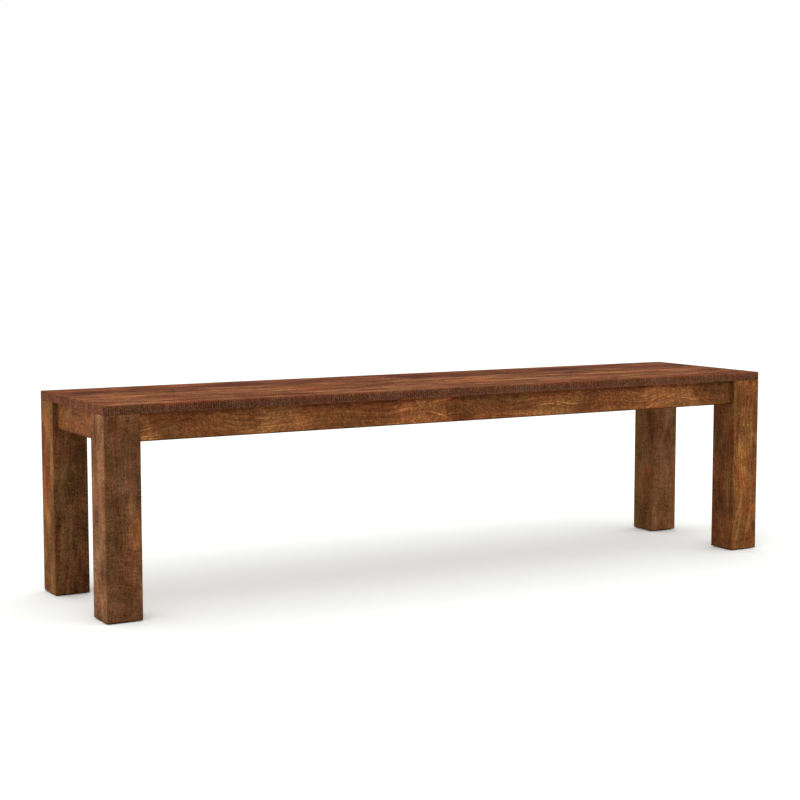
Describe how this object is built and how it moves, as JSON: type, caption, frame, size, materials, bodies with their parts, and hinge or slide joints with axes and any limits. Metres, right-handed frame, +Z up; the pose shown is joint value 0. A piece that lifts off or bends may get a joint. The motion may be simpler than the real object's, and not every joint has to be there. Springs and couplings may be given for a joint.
{
  "type": "dining bench",
  "caption": "Plain solid-wood dining bench: square corner legs, aprons set back between them, and a flat seat of glued boards flush with the legs.",
  "frame": {"origin": "on the floor, under the middle of the seat", "axes": "+X along the bench to the right-hand end, +Y from the front to the rear, +Z up"},
  "size_m": [1.76, 0.406, 0.457],
  "materials": {
    "top_wood": "reddish brown solid wood, low-sheen oil, rough-sawn front edge",
    "leg_wood": "brown solid wood with orange and dark streaks, low-sheen oil",
    "apron_wood": "golden brown solid wood with curly figure, low-sheen oil",
    "rail_wood": "plain sawn wood, unfinished",
    "zinc_steel": "bright zinc plate",
    "nylon": "moulded dark brown nylon"
  },
  "bodies": {
    "root": {"apron_front": "apron_wood", "apron_left": "apron_wood", "apron_rear": "apron_wood", "apron_right": "apron_wood", "bolt_nuts": "zinc_steel", "bolt_washers": "zinc_steel", "clip_screws": "zinc_steel", "corner_plate_front_left": "zinc_steel", "corner_plate_front_right": "zinc_steel", "corner_plate_rear_left": "zinc_steel", "corner_plate_rear_right": "zinc_steel", "cross_rail_1": "rail_wood", "cross_rail_2": "rail_wood", "cross_rail_3": "rail_wood", "glide_front_left": "nylon", "glide_front_right": "nylon", "glide_nails": "zinc_steel", "glide_rear_left": "nylon", "glide_rear_right": "nylon", "hanger_bolts": "zinc_steel", "leg_front_left": "leg_wood", "leg_front_right": "leg_wood", "leg_rear_left": "leg_wood", "leg_rear_right": "leg_wood", "plate_screws": "zinc_steel", "rail_screws": "zinc_steel", "top_board_1": "top_wood", "top_board_2": "top_wood", "top_board_3": "top_wood", "top_board_4": "top_wood", "top_clip_front_1": "zinc_steel", "top_clip_front_2": "zinc_steel", "top_clip_front_3": "zinc_steel", "top_clip_front_4": "zinc_steel", "top_clip_left_front": "zinc_steel", "top_clip_left_rear": "zinc_steel", "top_clip_rear_1": "zinc_steel", "top_clip_rear_2": "zinc_steel", "top_clip_rear_3": "zinc_steel", "top_clip_rear_4": "zinc_steel", "top_clip_right_front": "zinc_steel", "top_clip_right_rear": "zinc_steel"}
  },
  "joints": []
}
